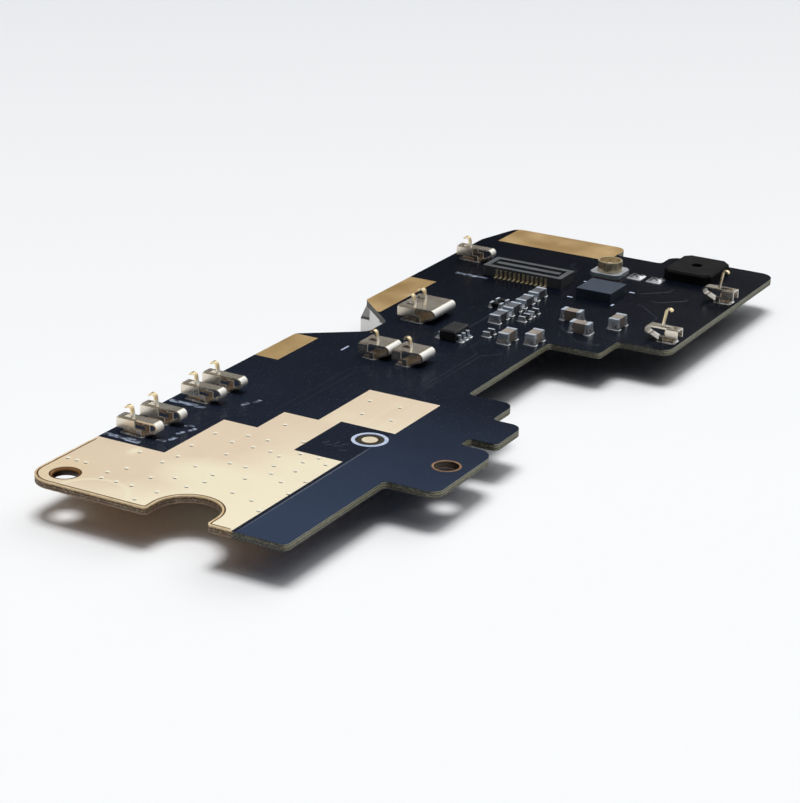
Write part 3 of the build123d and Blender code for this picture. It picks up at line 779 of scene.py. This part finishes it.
# The underside's gold is a darker, browner copy of the top's: painted shade.
for name, rosy, creamy in (
    ("ground_gold", rgb(0.86, 0.705, 0.525), rgb(1.0, 0.905, 0.675)),
    ("shaded_under_gold", rgb(0.36, 0.18, 0.085), rgb(0.44, 0.25, 0.125)),
):
    finishes[name] = ground_gold(name, rosy, creamy)
for make in (
    navy_mask, laminate_edge, gasket_cloth, spring_gold, via_gold, plated_bore, copper_rim
):
    finishes[make.__name__] = make()

node_finishes = {
    "laminate_edge": ["board_laminate"],
    "navy_mask": ["mask_top", "mask_bottom"],
    "ground_gold": ["ground_area_top"],
    "shaded_under_gold": ["ground_area_bottom"],
    "edge_gold": ["edge_pad_near", "edge_pad_far", "far_edge_strip"],
    "copper_rim": ["edge_hole_rim", "edge_hole_rim_bottom"],
    "spot_gold": ["test_pad", "test_pads_bottom"],
    "bright_gold": ["board_connector_pins", "coax_ring", "coax_pin", "usb_contacts"],
    "spring_gold": [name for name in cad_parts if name.startswith("contact_")],
    "connector_black": ["board_connector_housing"],
    "grey_nylon": ["coax_base"],
    "tinned_end": ["capacitor_ends", "filter_ends", "resistor_ends", "esd_leads"],
    "tan_ceramic": ["capacitor_bodies"],
    "grey_ferrite": ["filter_bodies"],
    "resistor_glass": ["resistor_bodies"],
    "moulded_black": ["esd_package", "usb_insulator"],
    "controller_slate": ["charge_controller"],
    "nickel_shell": ["usb_shell", "microphone"],
    "boot_rubber": ["microphone_boot"],
    "gasket_cloth": ["ground_gasket_near", "ground_gasket_far"],
}
for finish_name, names in node_finishes.items():
    for name in names:
        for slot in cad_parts[name].material_slots:
            slot.material = finishes[finish_name]


# -------------------------------------------------------------------- drilled vias
via_rows = {
    -1.02: [6.16],
    0.60: [2.38, 3.56, 4.74, 6.68],
    1.56: [2.16, 13.64],
    2.10: [-1.40, -0.68, 0.04],
    2.30: [5.00, 7.76],
    2.70: [2.82, 12.38],
    3.10: [6.32, 10.68],
    3.56: [8.28],
    4.80: [4.14, 8.06, 13.74],
    5.40: [6.32, 10.12, 1.92],
    6.15: [4.40, 12.34],
    7.00: [7.90, 9.12, 11.08, 13.64],
    8.15: [4.10, 6.86, 10.54, 12.18],
    9.70: [9.94, 11.78],
    10.10: [6.00, 7.66, 9.02, 13.24],
    10.80: [4.20, 10.90, 12.30],
    11.65: [6.26, 7.80],
    12.64: [9.96],
    14.60: [7.30],
    19.20: [10.60, 12.90],
    21.60: [9.80, 12.20],
}
round_size = (0, 0, 0)
vias = [(x, y, 0) for y, row in via_rows.items() for x in row]
via_dome = [(0.178, 0), (0.172, 0.022), (0.140, 0.050), (0.080, 0.062)]
for under, side in ((False, "top"), (True, "bottom")):
    raised(
        f"plugged_vias_{side}",
        vias,
        round_size,
        via_dome,
        finishes["via_gold"],
        under=under,
        steps=4,
    )

# ------------------------------------------------------------- plated edge and rims
left_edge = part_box("ground_area_top")[0][0] / MM
front_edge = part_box("ground_area_top")[0][1] / MM
notch = (9.75, -0.70)
notch_radius = 2.25
lip = 0.35                 # round at each side of the notch
corner = 1.90              # round at the near left
ground_back = 6.2          # where the bare ground area leaves the left edge
bead_end = 13.87           # just short of the mask on the right
notch_left = notch[0] - notch_radius - lip
notch_right = notch[0] + notch_radius + lip
edge_path = np.concatenate(
    [
        straight((left_edge, ground_back), (left_edge, front_edge + corner + 0.3), 8),
        arc((left_edge + corner, front_edge + corner), corner, 180, 270, 14),
        straight((0.3, front_edge), (notch_left - 0.2, front_edge), 8),
        arc((notch_left, front_edge + lip), lip, -90, 0, 7),
        arc(notch, notch_radius, 180, 0, 24),
        arc((notch_right, front_edge + lip), lip, 180, 270, 7),
        straight((12.7, front_edge), (bead_end, front_edge), 4),
    ]
)
buried = 0.012             # how far the ends of open strips dip into the board
plated_bead = rounded_back(0.13, 0.018) + (0.065, 0)
stained_seam = rounded_back(0.12, 0.010) + (0.185, 0)
for name, section, finish in (
    ("plated_edge_top", plated_bead, "bead_gold"),
    ("plated_edge_seam", stained_seam, "edge_stain"),
):
    carried(
        name,
        edge_path,
        section,
        finishes[finish],
        board_top - 0.002,
        sink=buried,
    )

film = 0.03                # copper and solder mask over the laminate
board_depth = board_top - board_under
corner_sleeve = [
    (1.060, 0),
    (1.045, 0.010),
    (0.960, 0.010),
    (0.890, -0.060),
    (0.835, -0.160),
    (0.815, -0.300),
    (0.815, film - board_depth),
    (0.840, -board_depth),
    (1.000, -board_depth),
]
edge_lip = [(0.95, 0), (0.94, 0.006), (0.88, 0.009), (0.85, -0.01), (0.85, -0.05)]
for rim, place, section, finish in (
    ("corner_hole_sleeve", (0, 0), corner_sleeve, "plated_bore"),
    ("edge_hole_lip", edge_hole, edge_lip, "copper_rim"),
):
    raised(
        rim,
        [(*place, 0)],
        round_size,
        section,
        finishes[finish],
        capped=False,
        steps=12,
    )

# ------------------------------------------------------------------- printed marks
ink = 0.012
hair_width = 0.12          # marks up to this wide are hairs
flat_print = [(0, 0), (-0.01, ink), (-0.05, ink)]
hair_print = [(0, 0), (-0.005, 0.006), (-0.015, 0.006)]
raised(
    "test_spot_ring",
    [(*test_spot, 0)],
    round_size,
    [(1.26, 0), (1.25, ink), (1.00, ink), (0.99, 0)],
    finishes["printed_ink"],
    capped=False,
    steps=12,
)
raised(
    "test_spot_moat",
    [(*test_spot, 0)],
    round_size,
    [(0.96, 0), (0.95, 0.004), (0.60, 0.004), (0.59, 0)],
    finishes["bare_moat"],
    capped=False,
    steps=12,
)
print_table = {
    "printed_bands": (
        (2.9, 0.46, 0.06),
        "worn_print",
        [(-0.50, 6.86, 0), (-0.45, 14.30, 0), (2.35, 50.6, 0)],
    ),
    "printed_bars": (
        (1.1, 0.14, 0.06),
        "printed_ink",
        [(0.40, 6.62, 0), (2.75, 30.0, 90), (6.6, 32.2, 0)],
    ),
    "printed_dabs": (
        (0.75, 0.30, 0.08),
        "worn_print",
        [
            (1.9, 7.8, 15), (2.4, 8.5, 80), (2.2, 9.6, 70), (2.6, 10.5, 80),
            (2.0, 11.0, 20), (2.9, 16.4, 75), (3.3, 17.3, 75),
        ],
    ),
    "printed_hairs": (
        (0.55, 0.05, 0.02),
        "pour_rim",
        [
            (11.2, 13.5, 60), (11.6, 13.2, 10), (11.9, 13.7, 80),
            (12.2, 13.3, 30), (12.5, 13.8, 55), (12.9, 12.8, 20),
        ],
    ),
    "printed_corners": (
        (0.5, 0.18, 0.07),
        "printed_ink",
        [
            (11.45, 50.05, 0), (15.15, 50.05, 90), (15.15, 53.75, 0),
            (2.2, 55.4, 0), (10.9, 54.3, 0),
        ],
    ),
}
for name, (size, finish, places) in print_table.items():
    section = flat_print if size[1] > hair_width else hair_print
    raised(name, places, size, section, finishes[finish])

raised(
    "tinned_spare_pads",
    [(13.79, 57.60, 0), (15.49, 57.60, 0)],
    (1.3, 1.4, 0.15),
    [(0, 0), (-0.02, 0.03), (-0.18, 0.11), (-0.40, 0.15)],
    finishes["solder"],
)

# ----------------------------------------------------------------- buried copper
pour_side = 14.2           # right-hand side of the copper under the mask
pour_edge = [(pour_side, y) for y in (front_edge + 0.05, 4.0, 8.0, 11.0, 14.2)]
trace = rounded_back(0.16, 0.004, 5)
trace_routes = [
    [(12.9, 23.7), (12.9, 24.0), (11.9, 25.0), (11.9, 34.0), (13.0, 35.1), (13.0, 36.4)],
    [(12.4, 24.2), (11.5, 25.1), (11.5, 34.3), (10.4, 35.4), (10.4, 40.5)],
    [(2.0, 15.3), (3.4, 15.3), (5.2, 17.1), (5.2, 26.5), (6.4, 27.7), (6.4, 28.6)],
    [
        (2.2, 7.9), (2.75, 8.45), (2.75, 13.5), (5.6, 16.35),
        (5.9, 16.9), (5.9, 26.2), (8.4, 28.7),
    ],
    [(6.2, 38.4), (7.4, 38.4), (8.2, 39.2), (8.2, 49.6), (7.0, 50.8)],
    [(15.2, 51.2), (17.2, 51.2), (19.4, 49.0), (19.4, 45.4)],
    [(15.2, 52.6), (18.0, 52.6), (19.6, 54.2), (19.6, 55.4)],
    [(11.6, 55.6), (11.6, 54.6), (13.0, 53.9)],
    [(17.6, 58.2), (17.6, 55.6), (16.0, 54.0), (15.2, 53.2)],
    [(2.3, 54.1), (3.2, 54.1), (3.6, 53.7), (3.6, 52.6)],
    [(18.2, 42.2), (18.2, 40.8), (16.4, 40.8), (14.0, 43.2), (14.0, 45.2)],
    [(9.0, 54.6), (9.0, 56.4), (8.0, 57.4), (8.0, 60.8)],
]
carried(
    "pour_edge_line",
    pour_edge,
    rounded_back(0.11, 0.014, 5),
    finishes["pour_rim"],
    board_top,
    sink=buried,
)
for number, route in enumerate(trace_routes, start=1):
    carried(
        f"buried_trace_{number}",
        route,
        trace,
        finishes["buried_copper"],
        board_top,
        sink=buried,
    )


# --------------------------------------------------------------------- solder work
def fillet_section(reach, height, rows=6):
    """Concave solder skirt: height falls as (1 - t) to the power 2.2 while the
    skirt grows outwards by t times its reach."""
    t = np.linspace(1, 0, rows)
    return np.stack([reach * t, 0.004 + height * (1 - t) ** 2.2], -1)


def foot_seat(name):
    """Middle and size of the solder under a spring's foot, which starts a little
    behind the plate's free end and stops short of the folded end."""
    low, high = (corner[:2] / MM for corner in np.array(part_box(name)))
    free, folded = 0.35, 1.12
    if name in ("contact_right", "contact_far_right"):
        free, folded = folded, free
    start, stop = low[0] + free, high[0] - folded
    middle = ((start + stop) / 2, (low[1] + high[1]) / 2, 0)
    return middle, (stop - start, high[1] - low[1] - 0.2)


foot_rim = [(0.16, 0), (0.15, 0.010), (0.07, 0.022), (0.0, 0.05)]
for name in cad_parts:
    if name.startswith("contact_"):
        place, size = foot_seat(name)
        raised(f"solder_{name}", [place], (*size, 0.15), foot_rim, finishes["solder"])


def lumps(name):
    """Boxes of a node's separate lumps: points in one place become one, and each
    point takes the lowest number among its neighbours, forty times over."""
    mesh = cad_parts[name].data
    points = np.empty(len(mesh.vertices) * 3)
    mesh.vertices.foreach_get("co", points)
    ends = np.empty(len(mesh.edges) * 2, dtype=int)
    mesh.edges.foreach_get("vertices", ends)
    points, same = np.unique(points.reshape(-1, 3).round(6), axis=0, return_inverse=True)
    ends = same.ravel()[ends].reshape(-1, 2)
    label = np.arange(len(points))
    for _ in range(40):
        least = np.minimum(label[ends[:, 0]], label[ends[:, 1]])
        np.minimum.at(label, ends[:, 0], least)
        np.minimum.at(label, ends[:, 1], least)
    groups = [points[label == number] / MM for number in np.unique(label)]
    return [(group.min(0), group.max(0)) for group in groups]


wetted = {"capacitor_ends": 0.55, "filter_ends": 0.55, "resistor_ends": 0.7, "esd_leads": 0.3}
for name, share in wetted.items():
    caps = [((low + high) / 2, tuple((high - low).round(2))) for low, high in lumps(name)]
    for number, size in enumerate(sorted({cap for _, cap in caps}), start=1):
        raised(
            f"fillets_{name}_{number}",
            [(*middle[:2], 0) for middle, cap in caps if cap == size],
            (*size[:2], 0.02),
            fillet_section(0.14, share * size[2]),
            finishes["solder"],
            capped=False,
        )

# ------------------------------------------------------------------------ studio
floor_level = cad_box[0][2]
far_paper = rgb(0.800, 0.815, 0.845)


def pale_floor():
    """Matt pale paper, a little greyer towards the back and the left, and clear
    when looked at from below."""
    finish, tree, shader = start_finish("pale_paper", Roughness=0.9, Specular_IOR_Level=0.1)
    aside = product(tree, coordinate(tree, "X"), 0.8)
    away = remap(tree, calculate(tree, "SUBTRACT", coordinate(tree, "Y"), aside), 0.0, 230.0)
    tone = blend(tree, away, rgb(0.945, 0.963, 0.983), far_paper)
    grain = remap(tree, noise(tree, object_point(tree), 900.0, 2.0), 0.3, 0.7, 0.0, 0.02)
    tone = blend(tree, grain, tone, far_paper)
    tree.links.new(tone, shader.inputs["Base Color"])
    behind = put(tree, "ShaderNodeNewGeometry").outputs["Backfacing"]
    clear = put(tree, "ShaderNodeBsdfTransparent").outputs["BSDF"]
    one_sided = put(tree, "ShaderNodeMixShader", {0: behind, 1: shader.outputs["BSDF"], 2: clear})
    tree.links.new(one_sided.outputs["Shader"], tree.nodes["Material Output"].inputs["Surface"])
    return finish


floor_reach = 3.0          # metres each way from the board's corner hole
floor_corners = [
    (floor_reach * x, floor_reach * y, floor_level)
    for x, y in ((-1, -1), (1, -1), (1, 1), (-1, 1))
]
floor_mesh = bpy.data.meshes.new("paper_floor")
floor_mesh.from_pydata(floor_corners, [], [(0, 1, 2, 3)])
floor_mesh.materials.append(pale_floor())
floor = bpy.data.objects.new("paper_floor", floor_mesh)
bpy.context.scene.collection.objects.link(floor)

lamp = bpy.data.lights.new("overhead_softbox", "SUN")
lamp.energy = 1.98
lamp.angle = math.radians(28)
lamp.color = (1.0, 0.995, 0.985)
lamp_object = bpy.data.objects.new("overhead_softbox", lamp)
lamp_object.rotation_euler = (math.radians(-7), math.radians(-3), 0)
lamp_object.visible_glossy = False
bpy.context.scene.collection.objects.link(lamp_object)

world = bpy.data.worlds.new("soft_room")
bpy.context.scene.world = world
world.use_nodes = True
sky = world.node_tree
direction = put(sky, "ShaderNodeTexCoord").outputs["Generated"]
rise = put(sky, "ShaderNodeSeparateXYZ", {"Vector": direction}).outputs["Z"]
window_direction = (0.10, 0.76, 0.642)
window = put(
    sky, "ShaderNodeVectorMath", {0: direction, 1: window_direction}, operation="DOT_PRODUCT"
)
dusk = remap(sky, rise, 0.15, 0.9)
overhead = remap(sky, rise, 0.82, 0.93)
through_window = remap(sky, window.outputs["Value"], 0.86, 0.93)
sky_tone = blend(sky, dusk, rgb(0.014, 0.015, 0.019), rgb(0.10, 0.103, 0.11))
sky_tone = blend(sky, overhead, sky_tone, rgb(0.80, 0.80, 0.795))
sky_tone = blend(sky, through_window, sky_tone, rgb(1.35, 1.35, 1.32))
seen = put(sky, "ShaderNodeLightPath").outputs["Is Camera Ray"]
sky.links.new(blend(sky, seen, sky_tone, far_paper), sky.nodes["Background"].inputs["Color"])

camera = bpy.data.cameras.new("bench_camera")
camera.lens = 103.637
camera.sensor_width = 36.0
camera.clip_start = 0.005
camera_object = bpy.data.objects.new("bench_camera", camera)
heading, tilt, roll = 0.510295, 0.366021, 0.023047
stand = Matrix.Translation((0.084783, -0.108054, 0.057915)) @ Matrix.Rotation(heading, 4, "Z")
tipped = Matrix.Rotation(math.pi / 2 - tilt, 4, "X") @ Matrix.Rotation(roll, 4, "Z")
camera_object.matrix_world = stand @ tipped
bpy.context.scene.collection.objects.link(camera_object)
bpy.context.scene.camera = camera_object
bpy.context.scene.view_settings.view_transform = "Standard"
